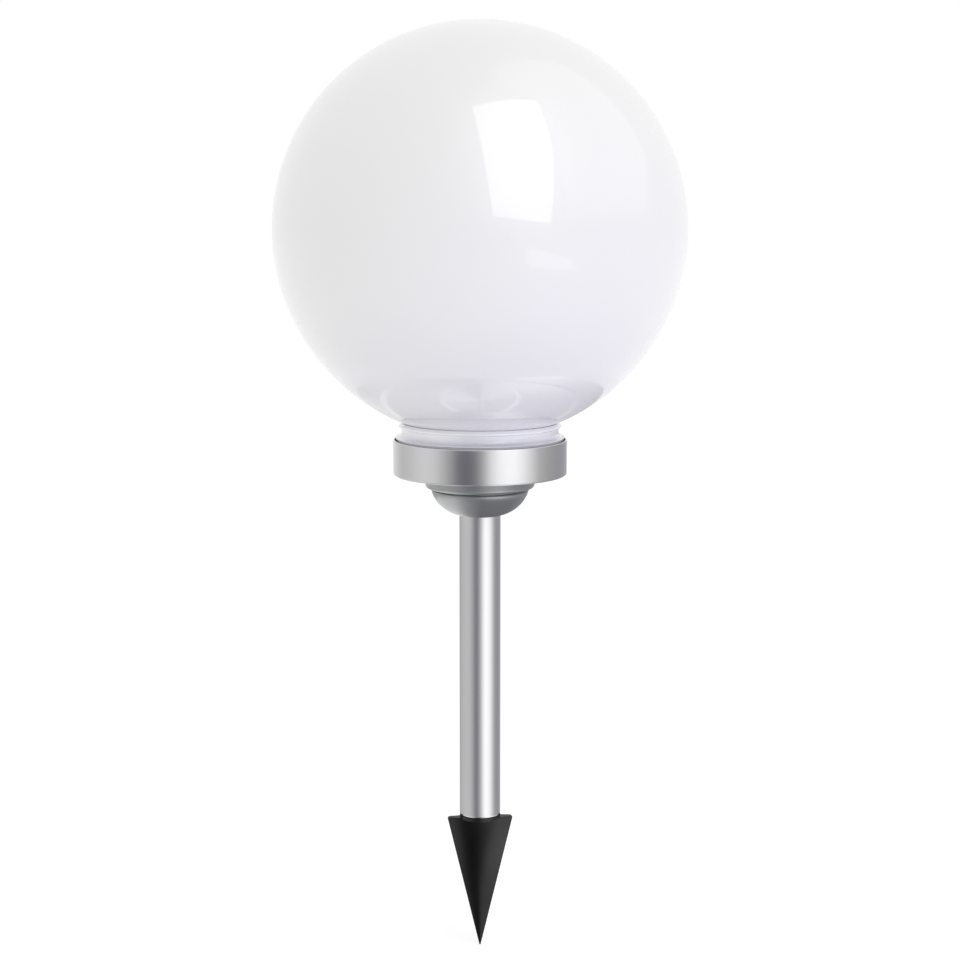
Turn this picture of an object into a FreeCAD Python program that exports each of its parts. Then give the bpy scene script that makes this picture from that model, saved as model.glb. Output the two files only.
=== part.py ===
import FreeCAD, Part

import math
import os

from FreeCAD import Vector

# Garden globe light on a ground spike, in millimetres.
# +Z is up, and the origin is where the pole meets the spike, level with the soil.
# The front faces -Y.

# ---------------------------------------------------------------- driving dimensions

# Globe
GLOBE_DIAMETER = 250.0
GLOBE_WALL = 2.0
MOUTH_RISE = 10.07  # globe's mouth above the band's top edge

# Neck ring under the globe
NECK_WALL = 2.0
BEAD_WIDTH = 3.7  # from the globe's mouth out to the bead's edge
BEAD_OVERHANG = 1.8
BEAD_EDGE = 0.8
BEAD_FALL = 1.2  # from the globe's edge down to the bead's edge
NECK_GLUE_DEPTH = 3.5
FLANGE_OVERHANG = 3.7
FLANGE_INSET = 1.4  # edge of the flange inside the band's outer face
FLANGE_RISE = 1.8  # top of the flange's edge above the band's top edge
FLANGE_EDGE = 0.9
FLANGE_ROOT_RISE = 1.2  # how far the flange's fillet climbs the neck
FLANGE_UNDER_DROP = 2.4  # underside of the flange below the band's top edge
SKIRT_DROP = 9.0  # foot of the skirt below the band's top edge
SKIRT_WALL = 2.2

# Twist lock between neck and base
LUG_COUNT = 3
LUG_REACH = 2.7
LUG_HEIGHT = 2.5
LUG_ANGLE = 16.0
LUG_FIRST_ANGLE = 90.0
NOTCH_EXTRA_ANGLE = 4.0
LOCK_TURN = 30.0
LEDGE_HEIGHT = 3.0
STOP_ANGLE = 2.5
STOP_GAP_ANGLE = 1.0

# Seal ring in the flange
SEAL_CORD_DIAMETER = 1.6
SEAL_INSET = 3.8  # middle of the seal inside the band's outer face
SEAL_GROOVE_DEPTH = 1.2

# Band and base
BAND_DIAMETER = 106.0
BAND_HEIGHT = 21.5
BAND_WALL = 0.8
BAND_EDGE_RADIUS = 0.9
BAND_LIP = 3.2
BASE_RIM_DROP = 3.2  # base rim below the band's top edge
BASE_WALL = 2.0
BASE_EDGE_RADIUS = 0.9
WELL_PLAY = 2.565  # between the battery holder's corners and the well
STEP_HEIGHT = 8.4
STEP_EDGE_RADIUS = 2.4

# Dome under the base, with the pole's socket
WAIST_INSET = 5.0  # waist inside the step's side
WAIST_HEIGHT = 2.0  # from the dome's widest edge up to the step
DOME_HEIGHT = 14.5
DOME_ARC_RADIUS = 21.9  # the dome's side in section
DOME_ARC_INSET = 9.0  # centre of that arc from the axis
DOME_SHOULDER_RADIUS = 1.2
DOME_WALL = 2.2
SOCKET_LIP_WALL = 1.2
SOCKET_WALL = 2.4

# Pole
POLE_DIAMETER = 25.4
POLE_WALL = 0.8
POLE_SHOWN = 190.0

# Spike
SPIKE_LENGTH = 86.2
WING_REACH = 20.6
WING_THICKNESS = 2.6
WING_DROP = 1.9  # top of the wings below the collar's top
WING_CORNER_RADIUS = 2.2
SPIKE_TURN_ANGLE = 5.0  # the whole spike, turned left side to the front
FRONT_BULGE = 5.5  # front of the body before the axis
REAR_HOLLOW = 8.6  # distance of the two rear hollows from the axis
TIP_SHARE = 0.02  # the tip's section as a share of the top one
COLLAR_HEIGHT = 2.4
SPIGOT_LENGTH = 28.0
SPIGOT_WALL = 2.4
SPIGOT_CHAMFER = 1.0

# Deck and what stands on it
DECK_TOP_DROP = 3.0  # deck top below the band's top edge
DECK_WALL = 1.6
DECK_SCREW_INSET = 5.2  # screws inside the deck's edge
DECK_SCREW_PLAY = 0.3  # between the screw heads and the platform
DECK_FLANGE_DROP = 11.0  # top of the deck's flange below the band's top edge
PANEL_LAMP_GAP = 2.5  # between the panel's frame and the lamps
PANEL_BOARD_THICKNESS = 1.2
PANEL_RECESS_DEPTH = 0.8
CELL_COUNT = 4
CELL_MARGIN = 2.0  # between the cells and the panel's edge
CELL_GAP = 0.5
CELL_THICKNESS = 0.3
WINDOW_THICKNESS = 0.8
FRAME_RIM = 1.2
FRAME_LIP = 1.6
FRAME_LIP_THICKNESS = 0.7
FRAME_CORNER_RADIUS = 4.0
LED_COUNT = 4
LED_DIAMETER = 5.0
LED_FLANGE_DIAMETER = 5.8
LED_FLANGE_HEIGHT = 0.8
LED_BODY_HEIGHT = 4.6
LED_WALL_GAP = 1.3  # between the lamps' flanges and the platform's wall
LED_LEG_DIAMETER = 0.5
LED_LEG_SPACING = 2.54

# Board
BOARD_PLAY = 1.0  # between the board and the platform's wall
BOARD_THICKNESS = 1.6
BOARD_DROP = 3.2  # board's top below the deck's plate
BOARD_BOSS_RADIUS = 2.6
BOARD_SCREW_INSET = 10.4  # screws inside the board's edge
CHIP_SIZE = (5.2, 3.6, 1.6)
CHIP_PLACE = (9.0, -12.0)
COIL_DIAMETER = 5.0
COIL_HEIGHT = 2.8
COIL_PLACE = (-9.0, -12.0)
RESISTOR_DIAMETER = 2.0
RESISTOR_LENGTH = 6.0
RESISTOR_PLACE = (-4.0, 14.0)

# Battery and its holder
BATTERY_DIAMETER = 14.2
BATTERY_LENGTH = 50.5
BATTERY_NUB_DIAMETER = 5.5
BATTERY_NUB_LENGTH = 1.2
HOLDER_WALL = 1.2
HOLDER_SIDE_PLAY = 0.7
HOLDER_END_PLAY = 1.05
HOLDER_WALL_RISE = 2.0  # holder's walls above the battery's axis
CONTACT_THICKNESS = 0.4
CONTACT_WIDTH = 10.0
CONTACT_TAB_RISE = 5.6  # top of the contacts above the battery's axis
CONTACT_BUMP_DIAMETER = 6.0
CONTACT_BUMP_HEIGHT = 0.5

# Switch
SWITCH_INSET = 6.1  # middle of the switch inside the base's wall
SWITCH_SIZE = (12.0, 6.0, 5.0)
SWITCH_TRAVEL = 3.0
SWITCH_WALL = 0.8
KNOB_SIZE = (3.0, 2.4)
KNOB_SHOE_SIZE = (5.0, 3.2, 1.0)
KNOB_STAND_OUT = 1.8
KNOB_RIDGE_COUNT = 3
KNOB_RIDGE_SIZE = 0.4

# Screws
SCREW_SHANK_DIAMETER = 2.6
SCREW_HEAD_DIAMETER = 5.2
SCREW_HEAD_HEIGHT = 1.6
SCREW_BITE = 5.0  # thread length in its post
BOARD_SCREW_BITE = 2.4
SCREW_SLOT_WIDTH = 0.7
SCREW_SLOT_DEPTH = 0.7
DECK_SCREW_COUNT = 4
POST_RADIUS = 3.4
SOCKET_SCREW_X = 15.0
SOCKET_SCREW_Y = 17.0
SOCKET_BOSS_RADIUS = 3.2

# Leads
LEAD_DIAMETER = 1.2
LEAD_BEND_RADIUS = 3.6
PANEL_LEAD_X = 6.0
PANEL_LEAD_Y = 14.0
BATTERY_LEAD_REACH = 5.3  # from the contacts out to the upright run
SWITCH_LEAD_X = 3.0
SWITCH_LEAD_REACH = 6.5  # from the switch in to the upright run

# Clearances
SEAT_GAP = 0.3  # between a moving piece and its seat
LOCK_CLEARANCE = 0.3  # round the twist lock's pieces
FIT_CLEARANCE = 0.1  # radial, between pieces that are pushed or glued together
SCREW_CLEARANCE = 0.05
HOLE_CLEARANCE = 0.3
LIFT_CLEARANCE = 0.4  # radial, between the deck and the ledge it drops through

# ---------------------------------------------------------------- derived levels and radii

DOME_LIP = POLE_SHOWN
DOME_RIM = DOME_LIP + DOME_HEIGHT
STEP_UNDER = DOME_RIM + WAIST_HEIGHT
BAND_UNDER = STEP_UNDER + STEP_HEIGHT
BAND_TOP = BAND_UNDER + BAND_HEIGHT

BAND_RADIUS = BAND_DIAMETER / 2
FLANGE_RADIUS = BAND_RADIUS - FLANGE_INSET
NECK_RADIUS = FLANGE_RADIUS - FLANGE_OVERHANG
BEAD_RADIUS = NECK_RADIUS + BEAD_OVERHANG

GLOBE_RADIUS = GLOBE_DIAMETER / 2
MOUTH_RADIUS = BEAD_RADIUS - BEAD_WIDTH
MOUTH_LEVEL = BAND_TOP + MOUTH_RISE
GLOBE_CENTRE = MOUTH_LEVEL + math.sqrt(GLOBE_RADIUS**2 - MOUTH_RADIUS**2)
MOUTH_INNER_RADIUS = math.sqrt((GLOBE_RADIUS - GLOBE_WALL) ** 2 - (GLOBE_CENTRE - MOUTH_LEVEL) ** 2)

BASE_RADIUS = BAND_RADIUS - BAND_WALL - FIT_CLEARANCE
BASE_INNER_RADIUS = BASE_RADIUS - BASE_WALL
BASE_RIM = BAND_TOP - BASE_RIM_DROP
FLOOR_UNDER = BAND_UNDER + BAND_WALL + FIT_CLEARANCE
FLOOR_TOP = FLOOR_UNDER + BASE_WALL
WELL_FLOOR = STEP_UNDER + BASE_WALL

BATTERY_RADIUS = BATTERY_DIAMETER / 2
HOLDER_FLOOR = WELL_FLOOR + HOLDER_WALL
BATTERY_LEVEL = HOLDER_FLOOR + FIT_CLEARANCE + BATTERY_RADIUS
HOLDER_INNER_HALF_LENGTH = BATTERY_LENGTH / 2 + HOLDER_END_PLAY
HOLDER_INNER_HALF_WIDTH = BATTERY_RADIUS + HOLDER_SIDE_PLAY
CONTACT_FACE = HOLDER_INNER_HALF_LENGTH - FIT_CLEARANCE - CONTACT_THICKNESS
BATTERY_TIP = CONTACT_FACE - FIT_CLEARANCE
HOLDER_CORNER_RADIUS = math.hypot(
    HOLDER_INNER_HALF_LENGTH + HOLDER_WALL, HOLDER_INNER_HALF_WIDTH + HOLDER_WALL
)
WELL_RADIUS = HOLDER_CORNER_RADIUS + WELL_PLAY
STEP_RADIUS = WELL_RADIUS + BASE_WALL
WAIST_RADIUS = STEP_RADIUS - WAIST_INSET

FLANGE_UNDER = BAND_TOP - FLANGE_UNDER_DROP
SKIRT_FOOT = BAND_TOP - SKIRT_DROP
SEAL_RADIUS = BAND_RADIUS - SEAL_INSET
SEAL_CORD_RADIUS = SEAL_CORD_DIAMETER / 2
GROOVE_HALF_WIDTH = SEAL_CORD_RADIUS + FIT_CLEARANCE
GROOVE_TOP = FLANGE_UNDER + SEAL_GROOVE_DEPTH

# The lugs stand inside the seal, so that the seal's seat stays unbroken.
NOTCH_RADIUS = SEAL_RADIUS - SEAL_CORD_RADIUS - LOCK_CLEARANCE
LUG_RADIUS = NOTCH_RADIUS - LOCK_CLEARANCE
SKIRT_RADIUS = LUG_RADIUS - LUG_REACH
SKIRT_INNER_RADIUS = SKIRT_RADIUS - SKIRT_WALL
LEDGE_RADIUS = SKIRT_RADIUS + LIFT_CLEARANCE
LEDGE_UNDER = BASE_RIM - LEDGE_HEIGHT
LUG_TOP = SKIRT_FOOT + LUG_HEIGHT

DECK_TOP = BAND_TOP - DECK_TOP_DROP
DECK_PLATE_UNDER = DECK_TOP - DECK_WALL
DECK_FLANGE_TOP = BAND_TOP - DECK_FLANGE_DROP
DECK_FLANGE_UNDER = DECK_FLANGE_TOP - DECK_WALL
DECK_FLANGE_RADIUS = LEDGE_RADIUS - LIFT_CLEARANCE
DECK_SCREW_CIRCLE_RADIUS = DECK_FLANGE_RADIUS - DECK_SCREW_INSET
DECK_PLATFORM_RADIUS = DECK_SCREW_CIRCLE_RADIUS - SCREW_HEAD_DIAMETER / 2 - DECK_SCREW_PLAY
DECK_INNER_RADIUS = DECK_PLATFORM_RADIUS - DECK_WALL
LED_RADIUS = LED_DIAMETER / 2
LED_CIRCLE_RADIUS = DECK_INNER_RADIUS - LED_WALL_GAP - LED_FLANGE_DIAMETER / 2
FRAME_HALF = LED_CIRCLE_RADIUS - LED_RADIUS - PANEL_LAMP_GAP
PANEL_HALF = FRAME_HALF - FRAME_RIM
CELL_LENGTH = 2 * (PANEL_HALF - CELL_MARGIN)
CELL_PITCH = CELL_LENGTH / CELL_COUNT
PANEL_UNDER = DECK_TOP - PANEL_RECESS_DEPTH
CELL_UNDER = PANEL_UNDER + PANEL_BOARD_THICKNESS
WINDOW_UNDER = CELL_UNDER + CELL_THICKNESS + FIT_CLEARANCE
WINDOW_TOP = WINDOW_UNDER + WINDOW_THICKNESS
FRAME_LIP_UNDER = WINDOW_TOP + FIT_CLEARANCE
FRAME_TOP = FRAME_LIP_UNDER + FRAME_LIP_THICKNESS
BOARD_TOP = DECK_PLATE_UNDER - BOARD_DROP
BOARD_UNDER = BOARD_TOP - BOARD_THICKNESS
BOARD_RADIUS = DECK_INNER_RADIUS - BOARD_PLAY
BOARD_SCREW_CIRCLE_RADIUS = BOARD_RADIUS - BOARD_SCREW_INSET
LED_FLANGE_TOP = DECK_PLATE_UNDER - FIT_CLEARANCE

POLE_RADIUS = POLE_DIAMETER / 2
POLE_FOOT = SEAT_GAP
POLE_TOP = STEP_UNDER - SEAT_GAP
SOCKET_RADIUS = POLE_RADIUS + FIT_CLEARANCE
SOCKET_LIP_RADIUS = SOCKET_RADIUS + SOCKET_LIP_WALL
DOME_ARC_LEVEL = DOME_LIP + math.sqrt(DOME_ARC_RADIUS**2 - (SOCKET_LIP_RADIUS - DOME_ARC_INSET) ** 2)
SPIGOT_RADIUS = POLE_RADIUS - POLE_WALL - FIT_CLEARANCE

SWITCH_RADIUS = BASE_INNER_RADIUS - SWITCH_INSET - SWITCH_SIZE[1] / 2
KNOB_REST = -SWITCH_TRAVEL / 2
SCREW_SHANK_RADIUS = SCREW_SHANK_DIAMETER / 2
SCREW_HEAD_RADIUS = SCREW_HEAD_DIAMETER / 2
PILOT_RADIUS = SCREW_SHANK_RADIUS + SCREW_CLEARANCE
THROUGH_RADIUS = SCREW_SHANK_RADIUS + HOLE_CLEARANCE
LEAD_RADIUS = LEAD_DIAMETER / 2

UP = Vector(0, 0, 1)


# ---------------------------------------------------------------- shape helpers


def corner_bite(radius):
    """How far the middle of a rounded corner stands in from either side."""
    return radius * (1 - math.sqrt(0.5))


def disc(radius, low, high, x=0.0, y=0.0):
    """An upright round bar between two levels."""
    return Part.makeCylinder(radius, high - low, Vector(x, y, low), UP)


def tube(outer_radius, inner_radius, low, high):
    """An upright pipe between two levels."""
    return disc(outer_radius, low, high).cut(disc(inner_radius, low, high))


def block(x_low, x_high, y_low, y_high, low, high):
    """A square-cornered block."""
    return Part.makeBox(x_high - x_low, y_high - y_low, high - low, Vector(x_low, y_low, low))


def centred_block(size_x, size_y, low, high, x=0.0, y=0.0):
    """A block centred over a point."""
    return block(x - size_x / 2, x + size_x / 2, y - size_y / 2, y + size_y / 2, low, high)


def rounded_block(half_side, corner_radius, low, high):
    """A square block with its upright edges rounded."""
    square = block(-half_side, half_side, -half_side, half_side, low, high)
    upright = [e for e in square.Edges if abs(e.tangentAt(e.FirstParameter).z) > 0.9]
    return square.makeFillet(corner_radius, upright)


def sector(outer_radius, inner_radius, low, high, middle_angle, width_angle):
    """A piece of a pipe's wall, seen from above as a curved block."""
    wedge = Part.makeCylinder(outer_radius, high - low, Vector(0, 0, low), UP, width_angle)
    wedge.rotate(Vector(), UP, middle_angle - width_angle / 2)
    return wedge.cut(disc(inner_radius, low, high))


def turned(start, *steps):
    """A solid turned about the upright axis. Each step is the next (radius, level) of a straight side,
    or a (through, end) pair for an arc."""
    edges = []
    here = start
    for step in (*steps, start):
        through, end = step if isinstance(step[0], tuple) else (None, step)
        first, last = Vector(here[0], 0, here[1]), Vector(end[0], 0, end[1])
        if through:
            edges.append(Part.Arc(first, Vector(through[0], 0, through[1]), last).toShape())
        else:
            edges.append(Part.LineSegment(first, last).toShape())
        here = end
    return Part.Face(Part.Wire(edges)).revolve(Vector(), UP, 360)


def on_circle(radius, angle):
    """The x and y of a point on a circle round the axis."""
    return radius * math.cos(math.radians(angle)), radius * math.sin(math.radians(angle))


def spread(count, first_angle=0.0):
    """Evenly spaced angles round a circle."""
    return [first_angle + 360.0 * i / count for i in range(count)]


def fused(first, others):
    """One solid from several that meet."""
    return first.multiFuse(list(others)).removeSplitter()


def dome_level(arc_radius, distance):
    """Level of the dome's outside, or of its inside with a smaller arc, at a distance from the axis."""
    return DOME_ARC_LEVEL - math.sqrt(arc_radius**2 - (distance - DOME_ARC_INSET) ** 2)


def dome_distance(arc_radius, level):
    """Distance from the axis to the dome's outside, or inside, at a level."""
    return DOME_ARC_INSET + math.sqrt(arc_radius**2 - (DOME_ARC_LEVEL - level) ** 2)


def screw(x, y, seat, bite, facing=1):
    """A pan-head screw with its head resting at the seat level, on top of it (1) or under it (-1)."""
    head = Part.makeCylinder(SCREW_HEAD_RADIUS, SCREW_HEAD_HEIGHT, Vector(x, y, seat), UP * facing)
    shank = Part.makeCylinder(SCREW_SHANK_RADIUS, bite, Vector(x, y, seat), UP * -facing)
    far = seat + facing * SCREW_HEAD_HEIGHT
    near = far - facing * SCREW_SLOT_DEPTH
    slot = centred_block(SCREW_HEAD_DIAMETER, SCREW_SLOT_WIDTH, min(near, far), max(near, far), x, y)
    return head.fuse(shank).removeSplitter().cut(slot)


def bent_lead(start, corner, end):
    """A round wire that runs from start towards a corner and on to the end, with a bend at the corner."""
    into, out = (corner - start).normalize(), (end - corner).normalize()
    half_turn = into.getAngle(out) / 2
    setback = LEAD_BEND_RADIUS * math.tan(half_turn)
    bend_start, bend_end = corner - into * setback, corner + out * setback
    inward = (out - into).normalize()
    middle = corner + inward * (LEAD_BEND_RADIUS / math.cos(half_turn) - LEAD_BEND_RADIUS)
    path = Part.Wire(
        [
            Part.LineSegment(start, bend_start).toShape(),
            Part.Arc(bend_start, middle, bend_end).toShape(),
            Part.LineSegment(bend_end, end).toShape(),
        ]
    )
    section = Part.Wire([Part.makeCircle(LEAD_RADIUS, start, into)])
    return path.makePipeShell([section], True, False)


# ---------------------------------------------------------------- globe and neck


def make_globe():
    """The milky ball, open at its mouth."""
    inner = GLOBE_RADIUS - GLOBE_WALL
    return turned(
        (0.0, GLOBE_CENTRE + GLOBE_RADIUS),
        ((GLOBE_RADIUS, GLOBE_CENTRE), (MOUTH_RADIUS, MOUTH_LEVEL)),
        (MOUTH_INNER_RADIUS, MOUTH_LEVEL),
        ((inner, GLOBE_CENTRE), (0.0, GLOBE_CENTRE + inner)),
    )


def make_globe_neck():
    """The neck ring: a glue ring in the globe's mouth, bead, wall, flange, skirt and lock lugs."""
    glue_outer = MOUTH_INNER_RADIUS - FIT_CLEARANCE
    glue_inner = glue_outer - NECK_WALL
    bead_top = MOUTH_LEVEL - BEAD_FALL
    bead_foot = bead_top - BEAD_EDGE
    neck_top = bead_foot - (BEAD_RADIUS - NECK_RADIUS) / 3
    flange_top = BAND_TOP + FLANGE_RISE
    flange_foot = flange_top - FLANGE_EDGE
    throat = NECK_RADIUS - NECK_WALL
    seat_under = MOUTH_LEVEL - NECK_WALL
    rim_under = bead_top - NECK_WALL
    body_radius = SEAL_RADIUS + GROOVE_HALF_WIDTH + BEAD_EDGE
    ring = turned(
        (glue_inner, MOUTH_LEVEL + NECK_GLUE_DEPTH),
        (glue_outer, MOUTH_LEVEL + NECK_GLUE_DEPTH),
        (glue_outer, MOUTH_LEVEL),
        (MOUTH_RADIUS, MOUTH_LEVEL),
        (BEAD_RADIUS, bead_top),
        (BEAD_RADIUS, bead_foot),
        (NECK_RADIUS, neck_top),
        (NECK_RADIUS, flange_top + FLANGE_ROOT_RISE),
        (
            (NECK_RADIUS + FLANGE_ROOT_RISE * 0.45, flange_top + FLANGE_ROOT_RISE * 0.38),
            (NECK_RADIUS + FLANGE_ROOT_RISE * 1.4, flange_top + FLANGE_ROOT_RISE * 0.1),
        ),
        (FLANGE_RADIUS, flange_top),
        (FLANGE_RADIUS, flange_foot),
        (body_radius, flange_foot),
        (body_radius, FLANGE_UNDER),
        (SEAL_RADIUS + GROOVE_HALF_WIDTH, FLANGE_UNDER),
        (SEAL_RADIUS + GROOVE_HALF_WIDTH, GROOVE_TOP),
        (SEAL_RADIUS - GROOVE_HALF_WIDTH, GROOVE_TOP),
        (SEAL_RADIUS - GROOVE_HALF_WIDTH, FLANGE_UNDER),
        (SKIRT_RADIUS, FLANGE_UNDER),
        (SKIRT_RADIUS, SKIRT_FOOT),
        (SKIRT_INNER_RADIUS, SKIRT_FOOT),
        (SKIRT_INNER_RADIUS, BAND_TOP),
        (throat, flange_top),
        (throat, rim_under),
        (MOUTH_RADIUS, seat_under),
        (glue_inner, seat_under),
    )
    lugs = [
        sector(LUG_RADIUS, SKIRT_RADIUS - FIT_CLEARANCE, SKIRT_FOOT, LUG_TOP, angle, LUG_ANGLE)
        for angle in spread(LUG_COUNT, LUG_FIRST_ANGLE)
    ]
    return fused(ring, lugs)


def make_globe_seal():
    """The rubber ring in the flange's groove."""
    level = GROOVE_TOP - FIT_CLEARANCE - SEAL_CORD_RADIUS
    return Part.makeTorus(SEAL_RADIUS, SEAL_CORD_RADIUS, Vector(0, 0, level), UP)


# ---------------------------------------------------------------- band, base and dome


def make_collar_band():
    """The brushed band, with its foot rolled in under the base."""
    inner = BAND_RADIUS - BAND_WALL
    lip = BAND_RADIUS - BAND_LIP
    roll = corner_bite(BAND_EDGE_RADIUS)
    return turned(
        (inner, BAND_TOP),
        (BAND_RADIUS, BAND_TOP),
        (BAND_RADIUS, BAND_UNDER + BAND_EDGE_RADIUS),
        ((BAND_RADIUS - roll, BAND_UNDER + roll), (BAND_RADIUS - BAND_EDGE_RADIUS, BAND_UNDER)),
        (lip, BAND_UNDER),
        (lip, BAND_UNDER + BAND_WALL),
        (BAND_RADIUS - BAND_EDGE_RADIUS, BAND_UNDER + BAND_WALL),
        (inner, BAND_UNDER + BAND_EDGE_RADIUS),
    )


def make_base_shell():
    """The turned body of the base: wall, ledge, floor, stepped well."""
    bite = corner_bite(STEP_EDGE_RADIUS)
    return turned(
        (LEDGE_RADIUS, BASE_RIM),
        (BASE_RADIUS, BASE_RIM),
        (BASE_RADIUS, FLOOR_UNDER + BASE_EDGE_RADIUS),
        (BASE_RADIUS - BASE_EDGE_RADIUS, FLOOR_UNDER),
        (STEP_RADIUS, FLOOR_UNDER),
        (STEP_RADIUS, STEP_UNDER + STEP_EDGE_RADIUS),
        ((STEP_RADIUS - bite, STEP_UNDER + bite), (STEP_RADIUS - STEP_EDGE_RADIUS, STEP_UNDER)),
        (0.0, STEP_UNDER),
        (0.0, WELL_FLOOR),
        (WELL_RADIUS, WELL_FLOOR),
        (WELL_RADIUS, FLOOR_TOP),
        (BASE_INNER_RADIUS, FLOOR_TOP),
        (BASE_INNER_RADIUS, LEDGE_UNDER),
        (LEDGE_RADIUS, LEDGE_UNDER),
    )


def make_base_cup():
    """The base, with the twist lock's notches and stops, the deck's posts and the switch slot."""
    cup = make_base_shell()
    additions = []
    openings = []
    for angle in spread(LUG_COUNT, LUG_FIRST_ANGLE):
        notch_width = LUG_ANGLE + NOTCH_EXTRA_ANGLE
        openings.append(sector(NOTCH_RADIUS, SKIRT_RADIUS, LEDGE_UNDER, BASE_RIM, angle, notch_width))
        stop = angle - LOCK_TURN - LUG_ANGLE / 2 - STOP_GAP_ANGLE - STOP_ANGLE / 2
        stop_foot = SKIRT_FOOT - LOCK_CLEARANCE
        stop_inner = SKIRT_RADIUS + LIFT_CLEARANCE
        stop_outer = BASE_INNER_RADIUS + FIT_CLEARANCE
        additions.append(sector(stop_outer, stop_inner, stop_foot, LEDGE_UNDER, stop, STOP_ANGLE))
    for angle in spread(DECK_SCREW_COUNT, 45.0):
        x, y = on_circle(DECK_SCREW_CIRCLE_RADIUS, angle)
        additions.append(disc(POST_RADIUS, FLOOR_TOP, DECK_FLANGE_UNDER, x, y))
        pilot_foot = DECK_FLANGE_UNDER - SCREW_BITE - SCREW_CLEARANCE
        openings.append(disc(PILOT_RADIUS, pilot_foot, DECK_FLANGE_UNDER, x, y))
    for x, y in socket_screw_places():
        openings.append(disc(THROUGH_RADIUS, STEP_UNDER, WELL_FLOOR, x, y))
    slot_length = KNOB_SIZE[0] + SWITCH_TRAVEL + 2 * HOLE_CLEARANCE
    slot_width = KNOB_SIZE[1] + 2 * HOLE_CLEARANCE
    openings.append(centred_block(slot_length, slot_width, FLOOR_UNDER, FLOOR_TOP, 0.0, SWITCH_RADIUS))
    return fused(cup, additions).cut(openings)


def socket_screw_places():
    """The four screws that hold the dome, as (x, y)."""
    return [(sx * SOCKET_SCREW_X, sy * SOCKET_SCREW_Y) for sx in (-1, 1) for sy in (-1, 1)]


def make_pole_socket():
    """The dome under the base, with the sleeve that takes the pole and bosses for its screws."""
    rim_radius = dome_distance(DOME_ARC_RADIUS, DOME_RIM)
    mid_level = (DOME_LIP + DOME_RIM) / 2
    shoulder = DOME_SHOULDER_RADIUS
    bite = corner_bite(shoulder)
    outside = turned(
        (0.0, STEP_UNDER),
        (WAIST_RADIUS, STEP_UNDER),
        (WAIST_RADIUS, DOME_RIM + shoulder),
        (rim_radius - shoulder, DOME_RIM + shoulder),
        ((rim_radius - bite, DOME_RIM + shoulder - bite), (rim_radius, DOME_RIM)),
        ((dome_distance(DOME_ARC_RADIUS, mid_level), mid_level), (SOCKET_LIP_RADIUS, DOME_LIP)),
        (0.0, DOME_LIP),
    )
    inner_arc = DOME_ARC_RADIUS - DOME_WALL
    sleeve = SOCKET_RADIUS + SOCKET_WALL
    ceiling = DOME_RIM - DOME_WALL
    cavity_low = dome_level(inner_arc, sleeve)
    cavity_mid = (cavity_low + ceiling) / 2
    cavity = turned(
        (sleeve, STEP_UNDER),
        (WAIST_RADIUS - DOME_WALL, STEP_UNDER),
        (WAIST_RADIUS - DOME_WALL, ceiling),
        (dome_distance(inner_arc, ceiling), ceiling),
        ((dome_distance(inner_arc, cavity_mid), cavity_mid), (sleeve, cavity_low)),
    )
    for x, y in socket_screw_places():
        cavity = cavity.cut(disc(SOCKET_BOSS_RADIUS, DOME_LIP, STEP_UNDER, x, y))
    dome = outside.cut(cavity).cut(disc(SOCKET_RADIUS, DOME_LIP, STEP_UNDER))
    pilot_low = STEP_UNDER - SCREW_BITE - SCREW_CLEARANCE
    return dome.cut([disc(PILOT_RADIUS, pilot_low, STEP_UNDER, x, y) for x, y in socket_screw_places()])


# ---------------------------------------------------------------- pole and spike


def make_pole():
    """The plain metal tube."""
    return tube(POLE_RADIUS, POLE_RADIUS - POLE_WALL, POLE_FOOT, POLE_TOP)


def wing_angles():
    """Directions of the right, rear and left wings."""
    return [angle + SPIKE_TURN_ANGLE for angle in (0.0, 90.0, 180.0)]


def side_middles():
    """The middle of the side after each wing, going round: right rear, left rear, front."""
    right, rear, left = wing_angles()
    right_rear = on_circle(REAR_HOLLOW, (right + rear) / 2)
    left_rear = on_circle(REAR_HOLLOW, (rear + left) / 2)
    return [Vector(*right_rear), Vector(*left_rear), Vector(*on_circle(-FRONT_BULGE, rear))]


def spike_section(share, level):
    """The spike's outline at a level: three blunt wing tips, hollow between them at the rear, and a
    rounded front."""
    tips = []
    for angle in wing_angles():
        along = Vector(*on_circle(1.0, angle))
        across = Vector(*on_circle(1.0, angle + 90.0))
        half = across * WING_THICKNESS / 2
        tips.append((along * WING_REACH - half, along * WING_REACH + half))
    lift = Vector(0, 0, level)
    edges = []
    for i, middle in enumerate(side_middles()):
        near, far = tips[i]
        after = tips[(i + 1) % len(tips)][0]
        edges.append(Part.LineSegment(near * share + lift, far * share + lift).toShape())
        edges.append(Part.Arc(far * share + lift, middle * share + lift, after * share + lift).toShape())
    return Part.Wire(edges)


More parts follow.
